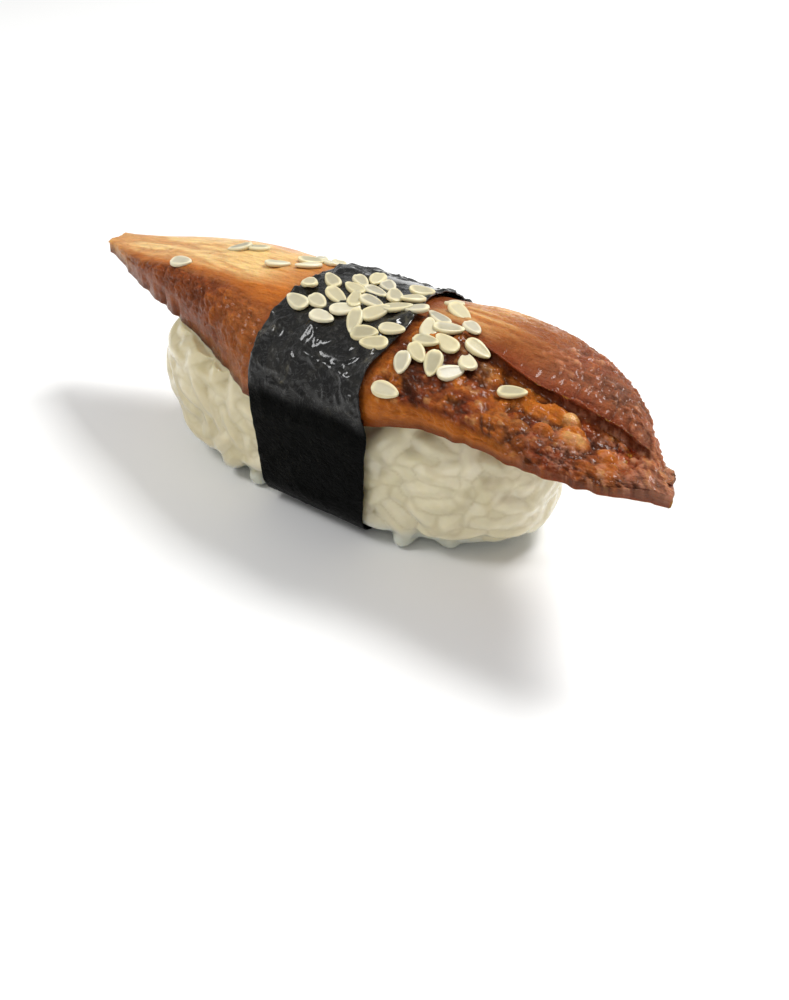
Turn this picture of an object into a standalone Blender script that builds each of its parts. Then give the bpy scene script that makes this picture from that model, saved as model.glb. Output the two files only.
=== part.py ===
"""Eel nigiri: a bale of sushi rice under a bias-cut slice of glazed grilled eel, belted with a strip of nori
and strewn with white sesame.

Lengths are in millimetres, and a mesh is turned to metres as it is made. +X runs along the slice, -Y is the
front, and the origin is on the table under the middle of the object's bounding box."""

import math

import bmesh
import bpy
import numpy as np
from mathutils import Matrix, Vector

MM = 0.001

# The slice of eel, as (x, value) along its length: the y of its edges and ridge, and heights. Its right tip is
# cut askew: the front corner lies further out than the back one
EEL_HALF_LENGTH = 44.2
TIP_SKEW = 0.8
EEL_FRONT = ((-44, 0.2), (-36, -3.2), (-28, -6.0), (-20, -8.4), (-8, -13.6), (12, -13.8), (18, -12.6),
             (36, -12.9), (44, -11.2))
EEL_BACK = ((-44, 3.4), (-38, 5.6), (-28, 9.8), (-16, 12.3), (8, 12.7), (14, 12.4), (24, 10.0), (30, 6.7),
            (35, 2.5), (38, -1.0), (40, -4.4), (44, -8.0))
EEL_RIDGE = ((-44, 2.6), (-30, 1.4), (-20, 0), (-8, -2.2), (12, -2.2), (20, -2.4), (27, -4.3), (33, -4.3),
             (37, -4.0), (40, -6.0), (44, -9.6))
EEL_CROWN = ((-44, 20.5), (-34, 22.4), (-21, 25.0), (-8, 26.0), (12, 26.2), (20, 26.1), (30, 25.4),
             (38, 23.4), (44, 21.8))
EEL_HEM = ((-44, 18.8), (-30, 18.2), (-20, 17.4), (-8, 15.4), (7, 17.0), (12, 18.6), (18, 19.4),
           (36, 19.6), (44, 20.4))
EEL_BELLY = ((-44, 19.1), (-27, 19.6), (-8, 19.6), (12, 20.0), (27, 20.6), (44, 20.8))
EEL_HEM_THICKNESS = 1.4
EEL_COLUMNS, EEL_ROWS = 38, 14

# How square the slice's section is before and behind its ridge: 2 is an ellipse, and more is squarer
EEL_FRONT_POWER = ((-44, 3.5), (-30, 5.0), (-20, 3.4), (-10, 2.3), (12, 2.0), (22, 1.6), (44, 1.6))
EEL_BACK_POWER = ((-44, 1.8), (-20, 1.9), (-6, 1.85), (8, 1.7), (16, 1.8), (24, 2.0), (44, 2.0))

# The tear along the ridge towards the right tip: the flesh before it lies lower, and its rear lip droops
TEAR_START, TEAR_FULL, TEAR_FADE, TEAR_END = 13.0, 24.0, 37.0, 42.0
TEAR_STEP, LIP_DROOP, LIP_SHARE = 1.9, 1.1, 0.4

# The bale of rice
RICE_LEFT, RICE_RIGHT, RICE_HALF_WIDTH = 28.4, 26.4, 12.6
RICE_SIDE = ((0, 0.93), (3, 0.98), (9, 1.03), (13, 1.03), (16.5, 0.98), (19.5, 0.86), (22, 0.5))
RICE_TOP = 21.0
GRAIN_LENGTH, GRAIN_WIDTH = 6.8, 3.3
GRAIN_PROUD = 0.65
ROW_HEIGHTS = (1.8, 4.8, 7.9, 11.0, 14.1, 17.0)
ROW_PITCH = 6.3
BASE_PITCH_X, BASE_PITCH_Y = 6.2, 3.6
CORE_BASE = 0.4

# The belt of nori: its middle and its half width at a height, how far its right edge draws in behind, and
# its inner line (y, z) up the back and down the front
BELT_MIDDLE = ((0, 0.6), (8, 1.4), (16, 2.4), (23, 1.6), (28, 2.4))
BELT_HALF_WIDTH = ((0, 7.4), (8, 7.8), (17, 8.4), (23, 7.7), (28, 8.1))
BELT_DRAWN = 2.8
BELT_THICKNESS = 0.4
BELT_BACK = ((2.0, 1.75), (8.6, 1.55), (11.7, 2.6), (12.8, 6.0), (13.3, 10.0), (13.4, 14.0))
BELT_FRONT = ((-14.1, 14.8), (-13.3, 11.0), (-12.7, 6.5), (-12.3, 3.4), (-11.2, 1.5), (-8.6, 0.85),
              (7.5, 0.85))
BELT_COLUMNS, BELT_ROWS = 6, 40

GAP = 0.3
SLIVER = 0.003

# White sesame: the x and y of the seeds on the belt and of those on the slice
SEED_LENGTH, SEED_WIDTH, SEED_THICKNESS = 3.3, 2.05, 0.95
BELT_SEEDS = ((-4.9, -4.0), (-3.9, -7.5), (-1.6, -6.6), (-0.2, -4.9), (2.1, -6.4), (0.4, -8.4), (0.4, -2.4),
              (-0.2, -0.4), (0.6, 1.6), (3.0, 0.6), (4.3, -7.6), (5.6, -5.4), (2.9, -1.7), (5.2, -1.2), (4.0, -3.9),
              (6.5, -8.6), (9.0, -7.0), (8.3, -9.4), (9.0, -2.6), (7.1, -3.4), (7.2, -0.6), (6.4, 2.4),
              (-3.0, -2.2), (2.0, -4.4))
EEL_SEEDS = ((11.9, -4.2), (11.6, -1.8), (10.3, 3.4), (12.4, 1.2), (13.7, -3.0), (12.9, -6.2), (14.9, -5.2),
             (15.6, -1.2), (12.3, -9.8), (13.1, -8.1), (15.3, -8.4), (17.4, -8.1), (17.7, -3.3), (17.9, -5.7),
             (12.2, -12.6), (24.0, -6.4), (-25.2, -4.4), (-20.6, 1.4), (-18.7, 2.4), (-12.7, -0.6), (-9.4, 1.2),
             (-10.6, 3.2), (-8.9, 4.8), (-11.0, 5.6), (-9.6, 7.4))


def eased(points, x, reach=2.5):
    """The broken line through points, its corners rounded by averaging it from x - reach to x + reach."""
    known_x, known_y = np.array(points, float).T
    shifts = np.linspace(-reach, reach, 9)
    return np.mean([np.interp(x + shift, known_x, known_y) for shift in shifts], axis=0)


def step(value, low, high):
    """0 below low, 1 above high, and a smooth rise between."""
    t = np.clip((value - low) / (high - low), 0, 1)
    return t * t * (3 - 2 * t)


def ripple(x, y, wavelength, seed, waves=7):
    """A smooth random surface of about -1 to 1: the sum of waves of one length in random directions."""
    draw = np.random.default_rng(seed)
    turns = draw.uniform(0, math.tau, waves)
    starts = draw.uniform(0, math.tau, waves)
    scale = math.tau / (wavelength * draw.uniform(0.75, 1.3, waves))
    total = 0
    for turn, start, rate in zip(turns, starts, scale):
        total = total + np.sin(rate * (x * math.cos(turn) + y * math.sin(turn)) + start)
    return total / math.sqrt(waves)


def eel_share(x, y):
    """Where y lies across the slice at x: -1 at the front edge, 0 on the ridge and 1 at the back edge."""
    front, back, ridge = eased(EEL_FRONT, x), eased(EEL_BACK, x), eased(EEL_RIDGE, x)
    return np.clip(np.where(y < ridge, (y - ridge) / (ridge - front), (y - ridge) / (back - ridge)), -1, 1)


def eel_place(x, share):
    """The y of a share across the slice, the other way round from eel_share."""
    front, back, ridge = eased(EEL_FRONT, x), eased(EEL_BACK, x), eased(EEL_RIDGE, x)
    return ridge + np.where(share < 0, share * (ridge - front), share * (back - ridge))


def eel_arch(x, share):
    """The height of the slice's top without tear or flakes: a superellipse from hem to ridge to hem."""
    power = np.where(share < 0, eased(EEL_FRONT_POWER, x), eased(EEL_BACK_POWER, x))
    arch = np.maximum(1 - np.abs(share) ** power, 0) ** (1 / power)
    hem = eased(EEL_HEM, x) + EEL_HEM_THICKNESS
    return hem + (eased(EEL_CROWN, x) - hem) * arch


def eel_top(x, share):
    """The height of the slice's top: the arch, its tear and drooping lip, and flakes outside the belt."""
    torn = step(x, TEAR_START, TEAR_FULL) * (1 - step(x, TEAR_FADE, TEAR_END))
    before = TEAR_STEP * step(-share, 0, 0.1) * (1 - step(-share, 0.35, 0.95))
    lip = LIP_DROOP * (1 - step(share, 0, LIP_SHARE)) * (1 - 0.6 * step(-share, 0.2, 0.9))
    y = eel_place(x, share)
    bare = step(beside_belt(x, y), 0.5, 3.5) * step(1 - np.abs(share), 0, 0.2)
    rough = torn * step(-share, 0, 0.15)
    flakes = 0.22 * ripple(x, y, 7.0, 3) + (0.12 + 0.4 * rough) * ripple(x, y, 4.4, 5)
    return eel_arch(x, share) - torn * (before + lip) + bare * flakes


def eel_under(x, share):
    """The height of the slice's underside on the rice: low at the hem and highest under the ridge."""
    hem = eased(EEL_HEM, x)
    return hem + (eased(EEL_BELLY, x) - hem) * (1 - share ** 2)


def belt_middle(height):
    """The x of the belt's middle at a height: the belt leans a little."""
    return eased(BELT_MIDDLE, height, 1.0)


def belt_half_width(height):
    return eased(BELT_HALF_WIDTH, height, 1.0)


def belt_x(across, y, height):
    """The x of a place across the belt, -1 at its left edge and 1 at its right one, at a y and a height."""
    drawn = BELT_DRAWN * step(y, -7, 5) * (1 + across) / 2
    return belt_middle(height) + across * belt_half_width(height) - drawn


def beside_belt(x, y):
    """How far a point of the slice's top lies outside the belt, and less than 0 under it."""
    return np.maximum(belt_x(-1, y, 25.0) - x, x - belt_x(1, y, 25.0))


def belt_line(across):
    """The belt's inner line at a place across it, -1 at its left edge and 1 at its right one, as even points:
    from its tucked end under the rice, up the back, over the slice, down the front, and under its own start."""
    share = np.sin(np.linspace(0.5, -0.5, 41) * math.pi)
    arch_y, height = np.linspace(12.0, -12.0, 41), np.full(41, 24.0)
    for _ in range(4):
        x = belt_x(across, arch_y, height)
        arch_y, height = eel_place(x, share), eel_arch(x, share)
    slope_y, slope_z = np.gradient(arch_y), np.gradient(height)
    offset = (GAP + 0.2) / np.hypot(slope_y, slope_z)
    over = np.stack([arch_y + offset * slope_z, height - offset * slope_y], 1)[2:-2]
    line = np.concatenate([np.array(BELT_BACK), over, np.array(BELT_FRONT)])
    line = evenly(line, 0.25)
    kernel = np.hanning(11)[1:-1]
    padded = np.concatenate([np.repeat(line[:1], 4, 0), line, np.repeat(line[-1:], 4, 0)])
    line = np.stack([np.convolve(padded[:, k], kernel / kernel.sum(), "valid") for k in (0, 1)], 1)
    line = evenly(line, None)
    return np.column_stack([belt_x(across, line[:, 0], line[:, 1]), line])


def evenly(line, pitch):
    """The line's points at an even pitch, or BELT_ROWS + 1 points where no pitch is given."""
    run = np.concatenate([[0], np.cumsum(np.linalg.norm(np.diff(line, axis=0), axis=1))])
    even = np.linspace(0, run[-1], round(run[-1] / pitch) + 1 if pitch else BELT_ROWS + 1)
    return np.stack([np.interp(even, run, line[:, k]) for k in range(line.shape[1])], 1)


def outward(line):
    """The unit normals of a belt line, away from the rice."""
    along = np.gradient(line, axis=0)
    away = np.column_stack([np.zeros(len(line)), along[:, 2], -along[:, 1]])
    return away / np.linalg.norm(away, axis=1)[:, None]


def rice_outline(angle, height):
    """The rice's surface point at an angle round the bale: a superellipse, blunter at its left end, that
    swells and draws in with height as RICE_SIDE says."""
    blunt = np.where(np.cos(angle) > 0, 2.4, 2.9)
    length = np.where(np.cos(angle) > 0, RICE_RIGHT, RICE_LEFT)
    ends, sides = np.cos(angle), np.sin(angle)
    reach = eased(RICE_SIDE, height, 1.0)
    x = length * np.sign(ends) * np.abs(ends) ** (2 / blunt)
    y = RICE_HALF_WIDTH * np.sign(sides) * np.abs(sides) ** (2 / blunt)
    return np.stack([x * reach, y * reach, np.zeros_like(x) + height], -1)


def collection(name, parent=None):
    made = bpy.data.collections.new(name)
    (parent or bpy.context.scene.collection).children.link(made)
    return made


def object_from(name, mesh_maker, where):
    """A new object whose bmesh is filled by mesh_maker in millimetres, turned to metres."""
    shape = bmesh.new()
    mesh_maker(shape)
    bmesh.ops.scale(shape, vec=(MM, MM, MM), verts=shape.verts)
    mesh = bpy.data.meshes.new(name)
    shape.to_mesh(mesh)
    shape.free()
    made = bpy.data.objects.new(name, mesh)
    where.objects.link(made)
    return made


def place(shape, points):
    """Gives the bmesh's vertices these coordinates."""
    for vertex, point in zip(shape.verts, points):
        vertex.co = point


def coordinates(shape):
    return np.array([vertex.co for vertex in shape.verts])


def split_alike(shape):
    """Splits every face into triangles."""
    bmesh.ops.triangulate(shape, faces=shape.faces, quad_method="SHORT_EDGE")


def slab(shape, rows_long, rows_wide):
    """A unit slab: a grid from -1 to 1 with a second sheet 1 below it."""
    bmesh.ops.create_grid(shape, x_segments=rows_long, y_segments=rows_wide, size=1)
    bmesh.ops.solidify(shape, geom=shape.faces[:] + shape.edges[:] + shape.verts[:], thickness=1)
    bmesh.ops.recalc_face_normals(shape, faces=shape.faces)


def fill_eel(shape, drop=0.0, lift=0.0):
    """The slice: the slab's upper sheet follows eel_top and its lower one eel_under. Drop lowers the
    underside and lift raises the top, for the room that the rice leaves."""
    slab(shape, EEL_COLUMNS, EEL_ROWS)
    unit = coordinates(shape)
    upper = unit[:, 2] > -0.5
    x = EEL_HALF_LENGTH * unit[:, 0]
    share = np.sin(0.5 * math.pi * np.sign(unit[:, 1]) * np.abs(unit[:, 1]) ** 1.4)
    frayed = 0.4 * ripple(x, 40 * np.sign(share), 5.0, 11) * step(np.abs(share), 0.9, 1)
    frayed *= step(beside_belt(x, np.full(x.shape, -12.0)), 0.5, 3)
    y = eel_place(x, share)
    z = np.where(upper, eel_top(x, share) + lift, eel_under(x, share) - drop)
    place(shape, np.stack([x - TIP_SKEW * step(x, 34, 44) * share, y + frayed, z], 1))
    split_alike(shape)


def fill_belt(shape, inside=0.0, outside=BELT_THICKNESS, margin=0.0):
    """The belt: its lines side by side, from inside to outside them. With a margin it is the plain room that
    the rice leaves for it."""
    slab(shape, BELT_ROWS, BELT_COLUMNS)
    unit = coordinates(shape)
    row = np.rint((unit[:, 0] + 1) / 2 * BELT_ROWS).astype(int)
    column = np.rint((unit[:, 1] + 1) / 2 * BELT_COLUMNS).astype(int)
    lines = [belt_line(across) for across in np.linspace(-1, 1, BELT_COLUMNS + 1)]
    points = np.array(lines)[column, row]
    away = np.array([outward(line) for line in lines])[column, row]
    worn = margin == 0
    crinkle = 0.14 * worn * np.abs(ripple(2 * row, 8 * unit[:, 1], 6.0, 21))
    points += away * (np.where(unit[:, 2] > -0.5, outside, inside) + crinkle)[:, None]
    points[:, 0] += unit[:, 1] * (margin + 0.2 * worn * ripple(2 * row, 30 * unit[:, 1], 9.0, 23))
    place(shape, points)
    split_alike(shape)
    bmesh.ops.recalc_face_normals(shape, faces=shape.faces)


def fill_core(shape):
    """The rice's core: a sphere drawn out to the bale's outline, less what the grains stand proud."""
    bmesh.ops.create_uvsphere(shape, u_segments=28, v_segments=12, radius=1)
    unit = coordinates(shape)
    height = np.clip(0.5 + 0.5 * unit[:, 2], 0, 1) * RICE_TOP
    angle = np.arctan2(unit[:, 1], unit[:, 0])
    points = rice_outline(angle, height)
    ring = np.hypot(unit[:, 0], unit[:, 1])
    inner = np.hypot(points[:, 0], points[:, 1])
    shrink = np.maximum(inner - GRAIN_PROUD, 0) / np.maximum(inner, 1e-6)
    drawn = np.minimum(ring / 0.8, 1)
    points[:, :2] *= (shrink * drawn)[:, None]
    points[:, 2] = np.maximum(points[:, 2], CORE_BASE)
    place(shape, points)
    split_alike(shape)


def fill_grain(shape):
    """One plump grain along X, of few sides."""
    bmesh.ops.create_uvsphere(shape, u_segments=5, v_segments=4, radius=1)
    unit = coordinates(shape)
    along = unit[:, 2]
    wide = (1 - np.abs(along) ** 2.6) ** 0.5 / np.maximum(np.hypot(unit[:, 0], unit[:, 1]), 1e-6)
    wide[np.abs(along) > 0.999] = 0
    x = along * GRAIN_LENGTH / 2
    y = unit[:, 0] * wide * GRAIN_WIDTH / 2
    z = unit[:, 1] * wide * GRAIN_WIDTH / 2
    place(shape, np.stack([x, y, z], 1))
    split_alike(shape)
    bmesh.ops.recalc_face_normals(shape, faces=shape.faces)


def fill_seed(shape):
    """One flat sesame seed along X, pointed at one end, of few sides."""
    bmesh.ops.create_uvsphere(shape, u_segments=6, v_segments=3, radius=1)
    unit = coordinates(shape)
    along = unit[:, 2]
    taper = 1 - 0.35 * step(along, -0.2, 1)
    x = along * SEED_LENGTH / 2
    y = unit[:, 0] * taper * SEED_WIDTH / 2 * 1.1
    z = unit[:, 1] * SEED_THICKNESS / 2 * 1.1
    place(shape, np.stack([x, y, z], 1))
    split_alike(shape)
    bmesh.ops.recalc_face_normals(shape, faces=shape.faces)


def turned(position, along, away, roll=0.0, tilt=0.0):
    """The matrix, in metres, that lays a piece's X along a direction on a surface that faces away."""
    away = Vector(away).normalized()
    along = Vector(along)
    along = (along - away * along.dot(away)).normalized()
    side = away.cross(along)
    turn = Matrix((along, side, away)).transposed().to_4x4()
    lean = Matrix.Rotation(tilt, 4, "Y") @ Matrix.Rotation(roll, 4, "X")
    return Matrix.Translation(Vector(position) * MM) @ turn @ lean


def side_grains():
    """Matrices of the grains that show on the bale's sides, in staggered rows, each turned at random."""
    draw = np.random.default_rng(7)
    fine = np.linspace(0, math.tau, 721)
    found = []
    for row, height in enumerate(ROW_HEIGHTS):
        ring = rice_outline(fine, height)
        run = np.concatenate([[0], np.cumsum(np.linalg.norm(np.diff(ring, axis=0), axis=1))])
        count = round(run[-1] / ROW_PITCH)
        for place_number in range(count):
            share = (place_number + 0.5 * (row % 2) + draw.uniform(-0.18, 0.18)) / count
            angle = float(np.interp((share % 1) * run[-1], run, fine))
            level = height + draw.uniform(-0.5, 0.5)
            angles, levels = np.array([angle, angle + 0.01, angle]), np.array([level, level, level + 0.1])
            here, beside, above = rice_outline(angles, levels)
            around, up = beside - here, above - here
            away = np.cross(around, up)
            away /= np.linalg.norm(away)
            swing, tilt = draw.normal(0, 0.32), draw.uniform(-0.12, 0.12)
            if abs(here[0] - belt_middle(level)) < belt_half_width(level) - 2.5:
                continue
            around = around / np.linalg.norm(around)
            lay = around * math.cos(swing) + np.cross(away, around) * math.sin(swing)
            sink = GRAIN_WIDTH / 2 + draw.uniform(-0.2, 0.3)
            found.append(turned(here - away * sink, lay, away, 0.0, tilt))
    return found


def base_grains():
    """Matrices of the grains that show underneath, on a lattice, beside the belt. One is under each end."""
    draw = np.random.default_rng(8)
    found = []
    for length in (-RICE_LEFT, RICE_RIGHT):
        for i in range(4):
            for j in range(-3, 4):
                x = math.copysign(11.5 + BASE_PITCH_X * (i + 0.5 * (j % 2)), length) + 0.5
                y = BASE_PITCH_Y * j
                out = abs(x / (abs(length) - 3.6)) ** 2.4 + abs(y / (RICE_HALF_WIDTH - 2.6)) ** 2.4
                swing = draw.uniform(-0.6, 0.6)
                if out < 1:
                    found.append(turned((x, y, 0.9), (math.cos(swing), math.sin(swing), 0), (0, 0, 1)))
    return found


def laid(places, seed):
    """The places (x, y) of seeds as (x, y, turn), each turned at random."""
    turns = np.random.default_rng(seed).uniform(0, math.tau, len(places))
    return [(x, y, turn) for (x, y), turn in zip(places, turns)]


def on_belt(x, y):
    """The height and the outward direction of the belt's outer face over a point of the slice."""
    left, right = belt_x(-1, y, 26.0), belt_x(1, y, 26.0)
    line = belt_line(float(np.clip((2 * x - left - right) / (right - left), -1, 1)))
    away = outward(line)
    line += away * BELT_THICKNESS
    upper = line[:, 2] > 18
    order = np.argsort(line[upper, 1])
    known_y, found = line[upper, 1][order], np.column_stack([line[:, 2], away])[upper][order]
    z, *face = [np.interp(y, known_y, values) for values in found.T]
    return z, face


def nori_seed_matrices():
    found = []
    for x, y, turn in laid(BELT_SEEDS, 35):
        x = min(max(x, belt_x(-1, y, 26.0) + 1), belt_x(1, y, 26.0) + 0.3)
        z, away = on_belt(x, y)
        found.append(turned((x, y, z + 0.25), (math.cos(turn), math.sin(turn), 0), away))
    return found


def eel_seed_matrices():
    found = []
    for x, y, turn in laid(EEL_SEEDS, 35):
        if beside_belt(x, y) < 2.0:
            continue
        x, y = np.array([x, x + 0.5, x]), np.array([y, y, y + 0.5])
        z = eel_top(x, eel_share(x, y))
        away = (2 * (z[0] - z[1]), 2 * (z[0] - z[2]), 1)
        found.append(turned((x[0], y[0], z[0] + 0.2), (math.cos(turn), math.sin(turn), 0), away))
    return found


def scatter(name, fill, matrices, where):
    """One object for each matrix, all sharing one mesh."""
    first = object_from(name, fill, where)
    first.matrix_world = matrices[0]
    for number, matrix in enumerate(matrices[1:], 1):
        copy = bpy.data.objects.new(f"{name}_{number}", first.data)
        copy.matrix_world = matrix
        where.objects.link(copy)


def boolean(target, operation, others):
    """Joins or cuts target with a collection, and applies it."""
    modifier = target.modifiers.new(operation.lower(), "BOOLEAN")
    modifier.operation = operation
    modifier.solver = "MANIFOLD"
    modifier.operand_type = "COLLECTION"
    modifier.collection = others
    bpy.context.view_layer.update()
    graph = bpy.context.evaluated_depsgraph_get()
    mesh = bpy.data.meshes.new_from_object(target.evaluated_get(graph))
    target.modifiers.clear()
    old, target.data = target.data, mesh
    mesh.name = target.name
    bpy.data.meshes.remove(old)


def remove(collection_used):
    for made in list(collection_used.objects):
        bpy.data.objects.remove(made)
    bpy.data.collections.remove(collection_used)


def clean(target):
    """Drops every shell but the largest, which leaves out loose scraps, and closes up the finest slivers."""
    shape = bmesh.new()
    shape.from_mesh(target.data)
    bmesh.ops.dissolve_degenerate(shape, dist=SLIVER * MM, edges=shape.edges)
    bmesh.ops.triangulate(shape, faces=shape.faces)
    shells, left = [], set(shape.verts)
    while left:
        stack, shell = [left.pop()], []
        while stack:
            vertex = stack.pop()
            shell.append(vertex)
            near = {edge.other_vert(vertex) for edge in vertex.link_edges} & left
            left -= near
            stack.extend(near)
        shells.append(shell)
    for shell in sorted(shells, key=len)[:-1]:
        bmesh.ops.delete(shape, geom=shell, context="VERTS")
    shape.to_mesh(target.data)
    shape.free()


def finish(target, name, colour, roughness):
    """Its material, and smooth shading up to its creases."""
    material = bpy.data.materials.new(name)
    material.use_nodes = True
    surface = material.node_tree.nodes["Principled BSDF"]
    surface.inputs["Base Color"].default_value = (*colour, 1)
    surface.inputs["Roughness"].default_value = roughness
    surface.inputs["Metallic"].default_value = 0
    target.data.materials.clear()
    target.data.materials.append(material)
    target.data.shade_smooth()
    target.data.set_sharp_from_angle(angle=math.radians(50))


def make_rice(parts):
    """The bale: the core and its grains fused, then trimmed where the eel, the belt and the table press it."""
    rice = object_from("rice", fill_core, parts)
    grains = collection("grains")
    scatter("grain", fill_grain, side_grains() + base_grains(), grains)
    boolean(rice, "UNION", grains)
    remove(grains)
    trims = collection("trims")
    object_from("eel_room", lambda shape: fill_eel(shape, drop=GAP, lift=6.0), trims)
    object_from("belt_room", lambda shape: fill_belt(shape, -GAP, 4.0, GAP), trims)
    table = object_from("table", lambda shape: bmesh.ops.create_cube(shape, size=100), trims)
    table.location.z = -50 * MM
    boolean(rice, "DIFFERENCE", trims)
    remove(trims)
    clean(rice)
    finish(rice, "rice", (0.86, 0.80, 0.62), 0.45)


def make_eel(parts):
    eel = object_from("eel", fill_eel, parts)
    seeds = collection("eel_seeds")
    scatter("eel_seed", fill_seed, eel_seed_matrices(), seeds)
    boolean(eel, "UNION", seeds)
    remove(seeds)
    clean(eel)
    finish(eel, "eel", (0.42, 0.13, 0.04), 0.3)


def make_nori(parts):
    nori = object_from("nori", fill_belt, parts)
    seeds = collection("nori_seeds")
    scatter("nori_seed", fill_seed, nori_seed_matrices(), seeds)
    boolean(nori, "UNION", seeds)
    remove(seeds)
    clean(nori)
    finish(nori, "nori", (0.012, 0.013, 0.010), 0.4)


def main():
    for old in list(bpy.data.objects):
        bpy.data.objects.remove(old)
    parts = collection("eel_nigiri")
    make_rice(parts)
    make_eel(parts)
    make_nori(parts)


main()
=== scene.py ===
"""The looks of the eel nigiri: every grain of its rice, the glazed fibres of the eel, the crinkled nori and
the sesame. Sizes in the shape tables are millimetres, and meshes are turned to metres as they are made."""

import itertools
import math

import bpy
import numpy as np
from bpy.props import FloatProperty, FloatVectorProperty, IntProperty, PointerProperty
from bpy.types import Operator, Panel, PropertyGroup
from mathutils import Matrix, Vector


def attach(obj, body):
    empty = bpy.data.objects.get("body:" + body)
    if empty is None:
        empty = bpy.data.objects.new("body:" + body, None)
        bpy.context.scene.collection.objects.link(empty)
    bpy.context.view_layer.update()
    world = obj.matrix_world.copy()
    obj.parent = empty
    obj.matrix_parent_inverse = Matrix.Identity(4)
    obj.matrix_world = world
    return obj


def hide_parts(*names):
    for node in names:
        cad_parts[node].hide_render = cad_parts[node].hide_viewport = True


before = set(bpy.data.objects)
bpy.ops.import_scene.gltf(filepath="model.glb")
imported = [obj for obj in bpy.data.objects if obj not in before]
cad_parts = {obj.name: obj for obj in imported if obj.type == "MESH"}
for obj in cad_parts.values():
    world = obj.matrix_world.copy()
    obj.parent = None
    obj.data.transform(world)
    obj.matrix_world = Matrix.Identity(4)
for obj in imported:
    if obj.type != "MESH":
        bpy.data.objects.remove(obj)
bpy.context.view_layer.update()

bl_info = {
    "name": "Eel Nigiri",
    "version": (1, 0, 0),
    "blender": (4, 5, 0),
    "location": "View3D > Sidebar > Nigiri",
    "description": "Rice, glazed eel, nori belt and white sesame, each from its own settings",
    "category": "Add Mesh",
}

MM = 0.001

# The slice of eel, as (x, value) along its length: the y of its edges and ridge, the heights of its ridge,
# the bottom of its edge and the middle of its underside, and how blunt its section is before and behind the
# ridge. Its right tip is cut askew: the front corner lies further out than the back one
EEL_HALF_LENGTH = 44.1
TIP_SKEW = 0.8
EEL_FRONT = ((-44, 0.2), (-36, -3.2), (-28, -6.0), (-20, -8.4), (-8, -13.6), (12, -13.8), (18, -12.6),
             (36, -12.9), (44, -11.2))
EEL_BACK = ((-44, 3.4), (-38, 5.6), (-28, 9.8), (-16, 12.3), (8, 12.7), (14, 12.4), (24, 10.0), (30, 6.7),
            (35, 2.5), (38, -1.0), (40, -4.4), (44, -8.0))
EEL_RIDGE = ((-44, 2.6), (-30, 1.4), (-20, 0), (-8, -2.2), (12, -2.2), (20, -2.4), (27, -4.3), (33, -4.3),
             (37, -4.0), (40, -6.0), (44, -9.6))
EEL_CROWN = ((-44, 20.5), (-34, 22.4), (-21, 25.0), (-8, 26.0), (12, 26.2), (20, 26.1), (30, 25.4),
             (38, 23.4), (44, 21.8))
EEL_HEM = ((-44, 18.8), (-30, 18.2), (-20, 17.4), (-8, 15.4), (7, 17.0), (12, 18.6), (18, 19.4),
           (36, 19.6), (44, 20.4))
EEL_BELLY = ((-44, 19.1), (-27, 19.6), (-8, 19.6), (12, 20.0), (27, 20.6), (44, 20.8))
EEL_HEM_THICKNESS = 1.4
EEL_FRONT_POWER = ((-44, 3.5), (-30, 5.0), (-20, 3.4), (-10, 2.3), (12, 2.0), (22, 1.6), (44, 1.6))
EEL_BACK_POWER = ((-44, 1.8), (-20, 1.9), (-6, 1.85), (8, 1.7), (16, 1.8), (24, 2.0), (44, 2.0))

# The tear by the ridge: where it opens and closes, how far the flesh before it steps down, how far its rear
# lip droops, and over which share of the way to the back edge
TEAR_START, TEAR_FULL, TEAR_FADE, TEAR_END = 13.0, 24.0, 37.0, 42.0
TEAR_STEP, LIP_DROOP, LIP_SHARE = 1.5, 1.2, 0.4

# The bale of rice: its reach to the left and the right, and its swelling at a height
RICE_LEFT, RICE_RIGHT, RICE_HALF_WIDTH = 28.4, 26.4, 12.6
RICE_SIDE = ((0, 0.93), (3, 0.98), (9, 1.03), (13, 1.03), (16.5, 0.98), (19.5, 0.86), (22, 0.5))

# The belt of nori: its middle and its half width at a height, how far its right edge draws in behind, its
# inner line (y, z) up the back and down the front, how far its patterns run along it, its steps along that
# line, the gap from the slice to that line, and from there to its outer face
BELT_MIDDLE = ((0, 0.6), (8, 1.4), (16, 2.4), (23, 1.6), (28, 2.4))
BELT_HALF_WIDTH = ((0, 7.4), (8, 7.8), (17, 8.4), (23, 7.7), (28, 8.1))
BELT_DRAWN = 2.8
BELT_BACK = ((2.0, 1.75), (8.6, 1.55), (11.7, 2.6), (12.8, 6.0), (13.3, 10.0), (13.4, 14.0))
BELT_FRONT = ((-14.1, 14.8), (-13.3, 11.0), (-12.7, 6.5), (-12.3, 3.4), (-11.2, 1.5), (-8.6, 0.85),
              (7.5, 0.85))
BELT_RUN = 86
BELT_STEPS = 420
BELT_GAP = 0.5
BELT_FACE = 0.4

# The bale's blunt ends, seen from above, the rounds of smoothing where grains touch, and how deep its core
# lies. Its lowest and highest rows of grains, and the pitch of the grains under it
RICE_BLUNT_RIGHT, RICE_BLUNT_LEFT = 2.4, 2.9
RICE_SOFTENING = 14
CORE_DEPTH = 0.95
LOWEST_ROW, HIGHEST_ROW, FOOT_PITCH = 1.55, 19.6, (3.7, 2.7)
# How far the rice stays above the table, below the slice, inside the belt and above its tucked ends, and
# how far past the belt's edges that holds
OVER_TABLE, UNDER_EEL, INSIDE_BELT, OVER_BELT, BESIDE_BELT = 0.03, 0.12, 0.25, 1.25, 0.35

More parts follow.
